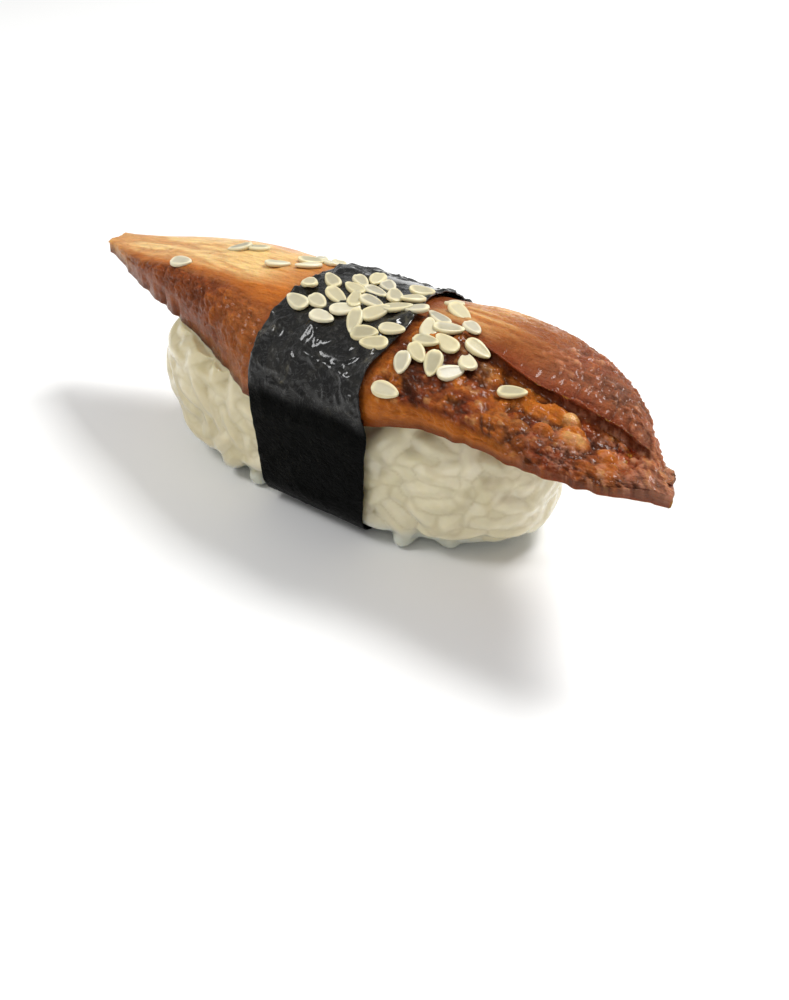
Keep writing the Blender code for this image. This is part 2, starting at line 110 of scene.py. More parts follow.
# The stage, in metres and degrees, with the lens in millimetres
CAMERA_PLACE, CAMERA_TILT, CAMERA_TURN, CAMERA_LENS = (0.0771, -0.1003, 0.0876), 54, 36, 43.2
KEY_PLACE, KEY_SIZE = (0.10, 0.24, 0.42), 0.16
FILL_PLACE, FILL_SIZE = (-0.16, -0.18, 0.34), 0.12
LIGHTS_AIM = (0, 0, 0.015)
FLOOR_HALF_SIZE = 3

# White sesame: the x and y of the seeds on the belt and of those on the slice
BELT_SEEDS = ((-4.9, -4.0), (-3.9, -7.5), (-1.6, -6.6), (-0.2, -4.9), (2.1, -6.4), (0.4, -8.4),
              (0.4, -2.4), (-0.2, -0.4), (0.6, 1.6), (3.0, 0.6), (4.3, -7.6), (5.6, -5.4), (2.9, -1.7),
              (5.2, -1.2), (4.0, -3.9), (6.5, -8.6), (9.0, -7.0), (8.3, -9.4), (9.0, -2.6), (7.1, -3.4),
              (7.2, -0.6), (6.4, 2.4), (-3.0, -2.2), (2.0, -4.4))
EEL_SEEDS = ((11.9, -4.2), (11.6, -1.8), (10.3, 3.4), (12.4, 1.2), (13.7, -3.0), (12.9, -6.2),
             (14.9, -5.2), (15.6, -1.2), (12.3, -9.8), (13.1, -8.1), (15.3, -8.4), (17.4, -8.1),
             (17.7, -3.3), (17.9, -5.7), (12.2, -12.6), (24.0, -6.4), (-25.2, -4.4), (-20.6, 1.4),
             (-18.7, 2.4), (-12.7, -0.6), (-9.4, 1.2), (-10.6, 3.2), (-8.9, 4.8), (-11.0, 5.6),
             (-9.6, 7.4))


def linear(text):
    """The linear colour of an sRGB hex value such as 'd9a265'."""
    parts = [int(text[i:i + 2], 16) / 255 for i in (0, 2, 4)]
    return tuple(c / 12.92 if c <= 0.04045 else ((c + 0.055) / 1.055) ** 2.4 for c in parts)


def colour_property(name, description, text):
    return FloatVectorProperty(
        name=name, description=description, default=linear(text), subtype="COLOR", size=3, min=0, max=1)


def number_property(name, description, default, **limits):
    return FloatProperty(name=name, description=description, default=default, **limits)


LENGTH = {"unit": "LENGTH", "precision": 5}
SHARE = {"min": 0, "max": 1, "subtype": "FACTOR"}
STRENGTH = {"min": 0}


# ---- numbers

def eased(points, x, reach=2.5):
    """The broken line through points, its corners rounded by averaging it from x - reach to x + reach."""
    known_x, known_y = np.array(points, float).T
    shifts = np.linspace(-reach, reach, 9)
    return np.mean([np.interp(x + shift, known_x, known_y) for shift in shifts], axis=0)


def step(value, low, high):
    """0 below low, 1 above high, and 3t^2 - 2t^3 between."""
    t = np.clip((value - low) / (high - low), 0, 1)
    return t * t * (3 - 2 * t)


def signed_power(value, power):
    """|value|^power with the sign of value, which makes a superellipse of a sine or cosine."""
    return np.sign(value) * np.abs(value) ** power


def hill(value, middle, reach):
    """The bell exp(-((value - middle) / reach)^2)."""
    return np.exp(-((value - middle) / reach) ** 2)


def chance(i, j, seed):
    """A fixed random number from 0 to 1 for each whole-number pair: its bits multiplied and folded."""
    bits = (i.astype(np.int64) * 374761393 + j.astype(np.int64) * 668265263 + seed * 1442695041) & 0xFFFFFFFF
    bits = ((bits ^ (bits >> 13)) * 1274126177) & 0xFFFFFFFF
    bits = ((bits ^ (bits >> 15)) * 2246822519) & 0xFFFFFFFF
    return ((bits ^ (bits >> 16)) & 0xFFFFF) / 0xFFFFF


def noise(x, y, size, seed):
    """Smooth noise from -1 to 1: random values on a lattice of that size, eased between its corners."""
    x, y = x / size, y / size
    i, j = np.floor(x), np.floor(y)
    u, v = step(x - i, 0, 1), step(y - j, 0, 1)
    low = chance(i, j, seed) * (1 - u) + chance(i + 1, j, seed) * u
    high = chance(i, j + 1, seed) * (1 - u) + chance(i + 1, j + 1, seed) * u
    return 2 * (low * (1 - v) + high * v) - 1


def summed(shape, x, y, size, seed, octaves, fall, shift):
    """The mean of shape(noise) over octaves, each half the size of the last, fall times its height, moved
    by shift and turned by the angle whose cosine is 0.8."""
    total, height, span = 0, 1.0, 0.0
    for octave in range(octaves):
        total = total + height * shape(noise(x, y, size, seed + octave))
        span += height
        x, y = 0.8 * x - 0.6 * y + shift[0], 0.6 * x + 0.8 * y + shift[1]
        size, height = size / 2.03, height * fall
    return total / span


def fractal(x, y, size, seed, octaves=4, fall=0.5):
    """Noise summed over octaves, from -1 to 1."""
    return summed(lambda value: value, x, y, size, seed, octaves, fall, (17.3, -9.1))


def creases(x, y, size, seed, octaves=4):
    """Sharp valleys: the magnitude of noise, 0 in a crease and 1 on a rise, summed over octaves."""
    return summed(lambda value: np.minimum(2.2 * np.abs(value), 1), x, y, size, seed, octaves, 0.55,
                  (5.1, 3.7))


def lumps(x, y, size, seed, fill=0.75):
    """Round lumps, 0 to 1: each lattice cell holds a point, and the height is 1 - d^2 of the nearest, at
    reach fill. Also a random number that each lump keeps all over."""
    x, y = x / size, y / size
    i, j = np.floor(x), np.floor(y)
    nearest, owner = np.full(x.shape, 9.0), np.zeros(x.shape)
    for k, m in itertools.product((-1, 0, 1), repeat=2):
        cell = i + k, j + m
        px, py = cell[0] + chance(*cell, seed), cell[1] + chance(*cell, seed + 1)
        reach = fill * (0.55 + 0.45 * chance(*cell, seed + 2))
        far = ((x - px) ** 2 + (y - py) ** 2) / reach ** 2
        owner = np.where(far < nearest, chance(*cell, seed + 3), owner)
        nearest = np.minimum(far, nearest)
    return np.maximum(1 - nearest, 0), owner


def unit(vectors):
    """The vectors at a length of 1."""
    return vectors / np.maximum(np.linalg.norm(vectors, axis=-1, keepdims=True), 1e-9)


def blended(base, colour, amount):
    """The colours base moved towards colour by amount."""
    return base + (np.array(colour) - base) * np.clip(amount, 0, 1)[..., None]


def layered(base, layers):
    """The colours base with each layer, a colour and its amount, blended over them in turn."""
    for colour, amount in layers:
        base = blended(base, colour, amount)
    return base


# ---- meshes

def placed(name, data):
    """A new object in the scene that shows the data."""
    made = bpy.data.objects.new(name, data)
    bpy.context.scene.collection.objects.link(made)
    return made


def with_poles(rings):
    """Each tube's points, followed by the middles of its two end rings."""
    poles = rings[:, [0, -1]].mean(axis=2)
    return np.concatenate([rings.reshape(len(rings), -1, 3), poles], axis=1).reshape(-1, 3)


def skin(name, rings, tint=None):
    """A closed mesh of tubes: rings is (tubes, rings along, points round, 3) in millimetres, and each end is
    closed with a fan to its ring's middle. tint is a colour for each point of the rings."""
    tubes, along, around, _ = rings.shape
    per = along * around + 2
    i, j = np.meshgrid(np.arange(along - 1), np.arange(around), indexing="ij")
    k = (j + 1) % around
    corners = [i * around + j, i * around + k, (i + 1) * around + k, (i + 1) * around + j]
    quads = np.stack(corners, -1).reshape(-1, 4)
    j, k = np.arange(around), (np.arange(around) + 1) % around
    last = (along - 1) * around
    fans = np.concatenate([
        np.stack([np.full(around, per - 2), k, j], 1),
        np.stack([np.full(around, per - 1), last + j, last + k], 1)])
    first = rings[0]
    faces = np.cross(np.roll(first, -1, 1) - first, np.roll(first, -1, 0) - first)
    if (faces * (first - first.mean((0, 1))))[:-1].sum() < 0:
        quads, fans = quads[:, ::-1], fans[:, ::-1]
    shift = (np.arange(tubes) * per)[:, None, None]
    quads, fans = (quads[None] + shift).reshape(-1, 4), (fans[None] + shift).reshape(-1, 3)
    mesh = bpy.data.meshes.new(name)
    mesh.from_pydata((with_poles(rings) * MM).tolist(), [], quads.tolist() + fans.tolist())
    mesh.shade_smooth()
    if tint is not None:
        paint(mesh, with_poles(tint))
    return placed(name, mesh)


def along_tube(count):
    """Places from -1 to 1 along a tube, closer together towards its ends, without the ends themselves."""
    return np.sin(np.linspace(-0.5, 0.5, count) * math.pi)[1:-1]


def paint(mesh, colours):
    """Stores a linear colour for each point of the mesh as its attribute tint."""
    layer = mesh.color_attributes.new("tint", "FLOAT_COLOR", "POINT")
    opaque = np.column_stack([colours, np.ones(len(colours))])
    layer.data.foreach_set("color", opaque.astype(np.float32).ravel())


def grid_normals(points):
    """Unit normals of a grid (rows, columns, 3) by central differences."""
    return unit(np.cross(np.gradient(points, axis=0), np.gradient(points, axis=1)))


# ---- shapes that the pieces share

def eel_lines(x):
    """The y of the slice's front edge, back edge and ridge at x."""
    return eased(EEL_FRONT, x), eased(EEL_BACK, x), eased(EEL_RIDGE, x)


def eel_share(x, y):
    """Where y lies across the slice at x: -1 at the front edge, 0 on the ridge and 1 at the back edge."""
    front, back, ridge = eel_lines(x)
    return np.clip(np.where(y < ridge, (y - ridge) / (ridge - front), (y - ridge) / (back - ridge)), -1, 1)


def eel_place(x, share):
    """The y of a share across the slice, the other way round from eel_share."""
    front, back, ridge = eel_lines(x)
    return ridge + np.where(share < 0, share * (ridge - front), share * (back - ridge))


def eel_arch(x, share):
    """The slice's top without tear or flakes: hem + (crown - hem) (1 - |share|^p)^(1/p)."""
    power = np.where(share < 0, eased(EEL_FRONT_POWER, x), eased(EEL_BACK_POWER, x))
    arch = np.maximum(1 - np.abs(share) ** power, 0) ** (1 / power)
    hem = eased(EEL_HEM, x) + EEL_HEM_THICKNESS
    return hem + (eased(EEL_CROWN, x) - hem) * arch


def torn(x):
    """How open the tear is at x, 0 to 1."""
    return step(x, TEAR_START, TEAR_FULL) * (1 - step(x, TEAR_FADE, TEAR_END))


def eel_torn_top(x, share):
    """The arch less the step before the tear and the droop of its rear lip."""
    before = TEAR_STEP * step(-share, 0, 0.06) * (1 - step(-share, 0.35, 0.95))
    lip = LIP_DROOP * (1 - step(share, 0, LIP_SHARE)) * (1 - 0.6 * step(-share, 0.2, 0.9))
    return eel_arch(x, share) - torn(x) * (before + lip)


def eel_under(x, share):
    """The slice's underside: hem + (belly - hem) (1 - share^2)."""
    hem = eased(EEL_HEM, x)
    return hem + (eased(EEL_BELLY, x) - hem) * (1 - share ** 2)


def belt_middle(height):
    return eased(BELT_MIDDLE, height, 1.0)


def belt_half_width(height):
    return eased(BELT_HALF_WIDTH, height, 1.0)


def belt_x(across, y, height):
    """The x of a place across the belt, -1 at its left edge and 1 at its right one, at a y and a height."""
    drawn = BELT_DRAWN * step(y, -7, 5) * (1 + across) / 2
    return belt_middle(height) + across * belt_half_width(height) - drawn


def beside_belt(x, y):
    """How far a point of the slice's top lies outside the belt, and less than 0 under it."""
    return np.maximum(belt_x(-1, y, 25.0) - x, x - belt_x(1, y, 25.0))


def evenly(line, count):
    """The line's points again as count + 1 points at an even pitch."""
    run = np.concatenate([[0], np.cumsum(np.linalg.norm(np.diff(line, axis=0), axis=1))])
    even = np.linspace(0, run[-1], count + 1)
    return np.stack([np.interp(even, run, line[:, k]) for k in range(line.shape[1])], 1)


def belt_line(across, count):
    """The belt's inner line at a place across it, -1 at its left edge and 1 at its right one: from its tucked
    end under the rice, up the back, over the slice at a gap, down the front, and under its own start."""
    share = np.sin(np.linspace(0.5, -0.5, 41) * math.pi)
    arch_y, height = np.linspace(12.0, -12.0, 41), np.full(41, 24.0)
    for _ in range(4):
        x = belt_x(across, arch_y, height)
        arch_y, height = eel_place(x, share), eel_arch(x, share)
    slope_y, slope_z = np.gradient(arch_y), np.gradient(height)
    offset = BELT_GAP / np.hypot(slope_y, slope_z)
    over = np.stack([arch_y + offset * slope_z, height - offset * slope_y], 1)[2:-2]
    line = evenly(np.concatenate([np.array(BELT_BACK), over, np.array(BELT_FRONT)]), BELT_STEPS)
    kernel = np.hanning(11)[1:-1]
    padded = np.concatenate([np.repeat(line[:1], 4, 0), line, np.repeat(line[-1:], 4, 0)])
    rounded = [np.convolve(padded[:, k], kernel / kernel.sum(), "valid") for k in (0, 1)]
    line = evenly(np.stack(rounded, 1), count)
    return np.column_stack([belt_x(across, line[:, 0], line[:, 1]), line])


def outward(line):
    """The unit normals of a belt line, away from the rice."""
    along = np.gradient(line, axis=0)
    return unit(np.column_stack([np.zeros(len(line)), along[:, 2], -along[:, 1]]))


def on_belt(x, y):
    """The height and the outward direction of the belt's outer face over a point of the slice."""
    left, right = belt_x(-1, y, 26.0), belt_x(1, y, 26.0)
    line = belt_line(float(np.clip((2 * x - left - right) / (right - left), -1, 1)), 160)
    away = outward(line)
    line += away * BELT_FACE
    upper = line[:, 2] > 18
    order = np.argsort(line[upper, 1])
    known_y, found = line[upper, 1][order], np.column_stack([line[:, 2], away])[upper][order]
    z, *face = [np.interp(y, known_y, values) for values in found.T]
    return z, face


def rice_outline(angle, height):
    """The rice's surface at an angle round the bale: a superellipse, blunter at its left end, that swells
    and draws in with height as RICE_SIDE says."""
    blunt = np.where(np.cos(angle) > 0, RICE_BLUNT_RIGHT, RICE_BLUNT_LEFT)
    length = np.where(np.cos(angle) > 0, RICE_RIGHT, RICE_LEFT)
    reach = eased(RICE_SIDE, height, 1.0)
    x = length * signed_power(np.cos(angle), 2 / blunt)
    y = RICE_HALF_WIDTH * signed_power(np.sin(angle), 2 / blunt)
    return np.stack([x * reach, y * reach, np.zeros_like(x) + height], -1)


def laid(places, seed):
    """The places (x, y) of seeds as (x, y, turn), each turned at random."""
    turns = np.random.default_rng(seed).uniform(0, math.tau, len(places))
    return [(x, y, turn) for (x, y), turn in zip(places, turns)]


def frames(along, away):
    """Turning matrices whose columns are along, made square to away, then their cross product, then away."""
    away = unit(away)
    along = unit(along - away * (along * away).sum(-1, keepdims=True))
    return np.stack([along, np.cross(away, along), away], -1)


# ---- materials

def dress(node, **values):
    """Sets a node's inputs, by name such as Coat_Weight=0.5 or by number such as _0=1, or links them."""
    for key, value in values.items():
        socket = node.inputs[int(key[1:]) if key[0] == "_" else key.replace("_", " ")]
        if isinstance(value, bpy.types.NodeSocket):
            node.id_data.links.new(value, socket)
        else:
            socket.default_value = value


def add(tree, kind, settings=None, out=0, **values):
    """Adds a node of a kind with its settings and its inputs' values, and returns one of its outputs."""
    made = tree.nodes.new("ShaderNode" + kind)
    made.location = (180 * len(tree.nodes) - 3000, 0)
    for key, value in (settings or {}).items():
        setattr(made, key, value)
    dress(made, **values)
    return made.outputs[out]


def speckle(tree, place, scale, detail, **values):
    """Fractal noise of a scale, in cells to a metre."""
    return add(tree, "TexNoise", Vector=place, Scale=scale, Detail=detail, **values)


def ramp(tree, source, stops):
    """A colour ramp on source, of (position, linear colour)."""
    colour = add(tree, "ValToRGB", Fac=source)
    band = colour.node.color_ramp
    while len(band.elements) < len(stops):
        band.elements.new(0.5)
    for element, (position, shade) in zip(band.elements, stops):
        element.position = position
        element.color = (*shade, 1)
    return colour


def shaded(tree, amount, shade):
    """The attribute tint darkened by a share of a shade."""
    tint = add(tree, "Attribute", {"attribute_name": "tint"})
    multiplied = {"data_type": "RGBA", "blend_type": "MULTIPLY"}
    return add(tree, "Mix", multiplied, 2, _0=amount, _6=tint, _7=shade)


def bumped(tree, strength, distance, height):
    """Normals tilted as if the surface rose by a distance times height."""
    return add(tree, "Bump", Strength=strength, Distance=distance, Height=height)


def material(name):
    """A new material with its Principled shader, its tree and a Texture Coordinate's Object output."""
    made = bpy.data.materials.new(name)
    made.use_nodes = True
    tree = made.node_tree
    return made, tree, tree.nodes["Principled BSDF"], add(tree, "TexCoord", None, "Object")


def steamed_rice(settings):
    """Steamed short-grain rice, vinegared: starchy and translucent, so light bleeds through a grain, and
    moist, so that each one has a soft highlight."""
    made, tree, surface, place = material("steamed_rice")
    cloud = speckle(tree, place, 320, 3, Roughness=0.6)
    shade = ramp(tree, cloud, ((0.3, (0.80, 0.78, 0.72)), (0.7, (1.0, 1.0, 1.0))))
    dress(surface, Base_Color=shaded(tree, 0.6, shade), Roughness=settings.roughness, IOR=1.42,
          Normal=bumped(tree, 0.3, 0.0003, speckle(tree, place, 700, 4)),
          Coat_Weight=0.8, Coat_Roughness=0.08,
          Subsurface_Weight=0.7, Subsurface_Radius=(1.0, 0.85, 0.55), Subsurface_Scale=0.0016)
    return made


def glazed_eel(settings):
    """Grilled eel under a soy and sugar glaze: translucent flesh that is amber where thin and near black
    where it caught, with a sticky gloss that breaks up over fibres and flakes."""
    made, tree, surface, place = material("glazed_eel")
    stretched = add(tree, "Mapping", Vector=place, Scale=(0.22, 1.0, 1.0))
    fibre = speckle(tree, stretched, 1500, 5, Roughness=0.65)
    shade = ramp(tree, fibre, ((0.32, (0.80, 0.70, 0.66)), (0.66, (1.36, 1.36, 1.36))))
    gloss = speckle(tree, place, 420, 4)
    pits = speckle(tree, place, 1000, 6, Roughness=0.75)
    height = add(tree, "Math", {"operation": "ADD"}, _0=fibre, _1=pits)
    dress(surface, Base_Color=shaded(tree, 0.8, shade), Normal=bumped(tree, 1.0, 0.0006, height),
          Roughness=add(tree, "MapRange", Value=gloss, _1=0.3, _2=0.7, _3=0.26, _4=0.46),
          IOR=1.42, Specular_IOR_Level=0.25, Specular_Tint=(1.0, 0.62, 0.38, 1),
          Subsurface_Weight=0.25, Subsurface_Radius=(1.0, 0.35, 0.12), Subsurface_Scale=0.0015,
          Coat_Weight=settings.glaze, Coat_Roughness=0.13, Coat_IOR=1.35, Coat_Tint=(1.0, 0.86, 0.68, 1))
    return made


def roasted_nori(settings):
    """Roasted laver pressed in sheets: green-black and fibrous. Dry it is dull. Where the slice has wetted
    and wrinkled it, its fibres glint, and its colour there is painted paler in flecks, a painted sheen."""
    made, tree, surface, place = material("roasted_nori")
    damp = add(tree, "Attribute", {"attribute_name": "tint"}, "Fac")
    weave = speckle(tree, place, 300, 6, Roughness=0.7, Distortion=1.2)
    dry = ramp(tree, weave, ((0.35, tuple(settings.dark)), (0.7, linear("0c0d0b"))))
    # Painted sheen: the damp part's colour rises to a pale grey-olive on the weave's peaks, as glints of
    # light
    foot_grey_and_sheen = ramp(tree, weave, ((0.38, linear("080807")), (0.52, linear("181713")),
                             (0.62, linear("32302a")), (0.72, linear("7a735c"))))
    fibre = speckle(tree, place, 850, 5, Roughness=0.7, Distortion=2.0)
    glint = ramp(tree, fibre, ((0.5, (0.03, 0.03, 0.03)), (0.68, (0.7, 0.7, 0.7))))
    folds = add(tree, "TexVoronoi", {"feature": "DISTANCE_TO_EDGE"}, Vector=place, Scale=480)
    plus = {"operation": "MULTIPLY_ADD"}
    height = add(tree, "Math", plus, _0=folds, _1=0.8, _2=fibre)
    dress(surface, Base_Color=add(tree, "Mix", {"data_type": "RGBA"}, 2, _0=damp, _6=dry, _7=foot_grey_and_sheen),
          Specular_IOR_Level=add(tree, "Math", plus, _0=glint, _1=damp, _2=settings.sheen),
          Normal=bumped(tree, 1.0, 0.0012, height), Roughness=0.3, IOR=1.5,
          Coat_Weight=add(tree, "Math", {"operation": "MULTIPLY"}, _0=damp, _1=0.9),
          Coat_Roughness=0.07, Coat_IOR=1.45)
    return made


def hulled_sesame():
    """Hulled white sesame: an oily, slightly translucent seed, its flat middle greyer than its cream rim."""
    made, tree, surface, place = material("hulled_sesame")
    mottle = speckle(tree, place, 900, 3)
    shade = ramp(tree, mottle, ((0.3, (0.88, 0.86, 0.82)), (0.7, (1.0, 1.0, 1.0))))
    dress(surface, Base_Color=shaded(tree, 0.7, shade), Normal=bumped(tree, 0.2, 0.0001, mottle),
          Roughness=0.36, IOR=1.47,
          Subsurface_Weight=0.3, Subsurface_Radius=(1.0, 0.8, 0.5), Subsurface_Scale=0.0008)
    return made


# ---- settings

class RiceSettings(PropertyGroup):
    length: number_property("Grain length", "Length of a cooked grain", 0.0066, **LENGTH)
    width: number_property("Grain width", "Thickness of a cooked grain", 0.0032, **LENGTH)
    pitch: number_property("Pitch", "Distance between neighbouring grains along a row", 0.0043, **LENGTH)
    rise: number_property("Rise", "Height between rows of grains", 0.0021, **LENGTH)
    fineness: number_property("Fineness", "Size of the faces that follow the grains", 0.0003, **LENGTH)
    roughness: number_property("Roughness", "How dull the grains' moist surface is", 0.34, **SHARE)
    colour: colour_property("Grain", "Colour of a grain", "f0e7c9")
    # Painted shade: blended along the creases between the grains and over the left end, the side away from
    # the light
    crease_and_left_shade: colour_property("Between", "Colour deep between the grains", "b8a773")
    # Colour that the grains nearest the table are blended towards, greyer and bluer than the rest
    foot_grey_and_sheen: colour_property("Wet", "Colour of the grains that drew water at the foot", "c9cfc8")


class EelSettings(PropertyGroup):
    columns: IntProperty(name="Columns", description="Faces along the slice", default=440, min=50)
    rows: IntProperty(name="Rows", description="Faces across the slice's top", default=168, min=20)
    glaze: number_property("Glaze", "How strongly the glaze shines", 0.32, **SHARE)
    brown: colour_property("Brown", "Grilled flesh", "84431c")
    # dark also paints shade: the shadow under the tear's lip and the hollows of the relief
    dark: colour_property("Dark", "Caught edges and the bottom of the tear", "3a180c")
    # Also painted light: the left top painted lighter as the face turned up to the light, and painted
    # highlights on crests
    gold_and_highlight: colour_property("Gold", "Pale fatty flesh on the left", "f2cf8e")
    amber: colour_property("Amber", "Thin and sugary places", "bf6f22")
    tan: colour_property("Tan", "The rear of the fillet on the right", "c47f40")
    rust: colour_property("Rust", "Flesh steeped in sauce", "7a3418")
    # A painted highlight: the grey-pink sheen of wet torn fibres
    pink_sheen: colour_property("Blush", "Wet torn fibres that catch the light", "cc9379")


class NoriSettings(PropertyGroup):
    columns: IntProperty(name="Columns", description="Faces across the belt", default=90, min=10)
    thickness: number_property("Thickness", "Thickness of the sheet between its wrinkles", 0.00015, **LENGTH)
    dark: colour_property("Dark", "The sheet's darkest green-black", "070807")
    sheen: number_property("Sheen", "Dull sheen of the dry sheet", 0.02, **SHARE)


class SesameSettings(PropertyGroup):
    length: number_property("Length", "Length of a seed", 0.0033, **LENGTH)
    width: number_property("Width", "Width of a seed", 0.00195, **LENGTH)
    thickness: number_property("Thickness", "Thickness of a seed", 0.00066, **LENGTH)
    rim: colour_property("Rim", "Colour of a seed's rim", "e4dcc0")
    middle: colour_property("Middle", "Colour of a seed's flat middle", "a6a292")


class StageSettings(PropertyGroup):
    floor: colour_property("Floor", "Colour of the floor", "f4f4f3")
    key: number_property("Key", "Power of the light above and behind, in watts", 2.25, **STRENGTH)
    fill: number_property("Fill", "Power of the light above and in front, in watts", 0.55, **STRENGTH)
    surround: number_property("Surround", "Strength of the even light all round", 0.44, **STRENGTH)


GROUPS = {"rice": RiceSettings, "eel": EelSettings, "nori": NoriSettings, "sesame": SesameSettings,
          "stage": StageSettings}


# ---- pieces

def finish(piece, look, slot, *nodes):
    """Gives a piece its material and its body, and hides the CAD nodes that it stands for. slot is not used.
    """
    piece.data.materials.append(look)
    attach(piece, "root")
    if nodes:
        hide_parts(*nodes)


def kept_room(points):
    """Rice points moved out of the room of its neighbours: up to the table, below the slice's underside, and
    inside the belt's line where the belt passes."""
    x, y, z = np.moveaxis(points, -1, 0)
    z = np.maximum(z, OVER_TABLE)
    depth = belt_half_width(z) + BESIDE_BELT - np.abs(x - belt_middle(z))
    z = np.maximum(z, np.where(depth > 0, OVER_BELT, 0.0))
    front, back = (np.interp(z, *np.array(line).T[::-1]) for line in (BELT_FRONT[-2::-1], BELT_BACK[1:]))
    y = np.where(depth > 0, np.clip(y, front + INSIDE_BELT, back - INSIDE_BELT), y)
    roof = eel_under(x, eel_share(x, y)) - UNDER_EEL
    return np.stack([x, y, np.minimum(z, roof)], -1)


class NIGIRI_OT_rice(Operator):
    """Make the bale: grains in rows over its sides and its foot and a core behind them, pressed into one"""
    bl_idname = "nigiri.rice"
    bl_label = "Rice"

    def execute(self, context):
        settings = context.scene.nigiri_rice
        middle, turn, size = self.places(settings)
        grains = self.grains(settings, middle, turn, size)
        shells = [skin("rice_core", self.core()), skin("rice_grains", grains)]
        bale = self.pressed(settings, shells)
        count = len(bale.data.vertices)
        points = np.empty(3 * count, np.float32)
        bale.data.vertices.foreach_get("co", points)
        points = kept_room(points.reshape(-1, 3) / MM)
        bale.data.vertices.foreach_set("co", (points * MM).astype(np.float32).ravel())
        paint(bale.data, self.tint(settings, points, middle, turn[..., 0], size))
        bale.data.update()
        finish(bale, steamed_rice(settings), "rice", "rice")
        return {"FINISHED"}

    def places(self, settings):
        """The middles, turnings and sizes of the grains: rows round the outline at even heights, each grain
        moved and swung at random, and the foot's grains on a jittered grid."""
        width = settings.width / MM
        draw = np.random.default_rng(70)
        fine = np.linspace(0, math.tau, 1441)
        found = []
        for row, height in enumerate(np.arange(LOWEST_ROW, HIGHEST_ROW, settings.rise / MM)):
            ring = rice_outline(fine, np.full(fine.shape, height))
            run = np.concatenate([[0], np.cumsum(np.linalg.norm(np.diff(ring, axis=0), axis=1))])
            count = round(run[-1] / (settings.pitch / MM if row else width))
            share = (np.arange(count) + 0.5 * (row % 2) + draw.uniform(-0.3, 0.3, count)) / count
            angle = np.interp((share % 1) * run[-1], run, fine)
            level = height + draw.uniform(-0.7, 0.7, count) * (row > 0)
            here = rice_outline(angle, level)
            around = rice_outline(angle + 0.01, level) - here
            away = unit(np.cross(around, rice_outline(angle, level + 0.1) - here))
            around = unit(around)
            swing = draw.normal(0, 0.8, count)[:, None]
            along = around * np.cos(swing) + np.cross(away, around) * np.sin(swing)
            along += away * draw.uniform(-0.12, 0.12, count)[:, None]
            sink = width / 2 + draw.uniform(-0.1, 0.2, count)[:, None]
            if row == 0:
                along, sink = away + 0.15 * around, np.full((count, 1), settings.length / MM / 2 - 0.1)
            covered = belt_half_width(level) + (-2.6 if row else 1.2)
            seen = np.abs(here[:, 0] - belt_middle(level)) > covered
            found.append(np.stack([here - away * sink, along, away])[:, seen])
        grid = np.arange(-25, 25, FOOT_PITCH[0]), np.arange(-10.5, 11, FOOT_PITCH[1])
        x, y = np.meshgrid(*grid, indexing="ij")
        x, y = x + draw.uniform(-0.6, 0.6, x.shape), y + draw.uniform(-0.5, 0.5, y.shape)
        inside = (np.abs(x) / np.where(x > 0, 22.4, 24.4)) ** 2.4 + (np.abs(y) / 9) ** 2.4 < 1
        kept = (np.abs(x - 0.6) > 9.0) & inside
        x, y = x[kept], y[kept]
        swing = draw.uniform(0, math.pi, len(x))
        flat = 0 * x
        foot = [(x, y, flat + 1.25), (np.cos(swing), np.sin(swing), flat), (flat, flat, flat + 1)]
        found.append(np.moveaxis(np.array(foot), 1, 2))
        middle, along, away = np.concatenate(found, axis=1)
        return middle, frames(along, away), draw.uniform(0.86, 1.12, (len(middle), 2))

    def core(self):
        """The outline drawn in by the core's depth, as rings along X from end to end."""
        columns, around = 110, 90
        u = np.sin(0.5 * math.pi * np.linspace(-0.995, 0.995, columns))[:, None]
        turn = np.linspace(0, math.tau, around, endpoint=False)[None]
        blunt = np.where(u > 0, RICE_BLUNT_RIGHT, RICE_BLUNT_LEFT)
        reach = np.maximum(1 - np.abs(u) ** blunt, 0) ** (1 / blunt)
        z = 10.3 + 9.6 * signed_power(np.sin(turn), 0.4) * reach ** 0.3
        side = eased(RICE_SIDE, z, 1.0)
        y = (RICE_HALF_WIDTH * side - CORE_DEPTH) * reach * signed_power(np.cos(turn), 0.45)
        x = np.where(u > 0, RICE_RIGHT, RICE_LEFT) * u * side - CORE_DEPTH * u
        return np.stack([x, y, z], -1)[None]

    def grains(self, settings, middle, turn, size):
        """Plump grains, each a blunt rod that bends a little: its radius is w (1 - |t|^2.7)^(1/2) at t from
        -1 to 1 along it."""
        draw = np.random.default_rng(71)
        t = along_tube(9)
        phi = np.linspace(0, math.tau, 8, endpoint=False)
        radius = np.sqrt(1 - np.abs(t) ** 2.7)[None, :, None] * size[:, 1, None, None]
        radius = radius * settings.width / MM / 2
        bend = draw.uniform(-0.2, 0.2, (len(middle), 1, 1))
        x = t[None, :, None] * size[:, 0, None, None] * settings.length / MM / 2
        y = radius * np.cos(phi) + bend * (t[None, :, None] ** 2 - 0.4)
        local = np.stack([np.broadcast_to(x, y.shape), y, radius * np.sin(phi) * 0.94], -1)
        return np.einsum("nij,nabj->nabi", turn, local) + middle[:, None, None]

    def pressed(self, settings, shells):
        """One closed surface round all the shells, its creases softened."""
        bale = shells[0]
        with bpy.context.temp_override(active_object=bale, selected_editable_objects=shells):
            bpy.ops.object.join()
        remesh = bale.modifiers.new("pressed", "REMESH")
        remesh.mode = "VOXEL"
        remesh.voxel_size = settings.fineness
        remesh.use_smooth_shade = True
        soften = bale.modifiers.new("softened", "SMOOTH")
        soften.factor, soften.iterations = 0.5, RICE_SOFTENING
        bpy.context.view_layer.update()
        mesh = bpy.data.meshes.new_from_object(bale.evaluated_get(bpy.context.evaluated_depsgraph_get()))
        bale.modifiers.clear()
        old, bale.data = bale.data, mesh
        bpy.data.meshes.remove(old)
        bale.name = mesh.name = "rice_bale"
        return bale

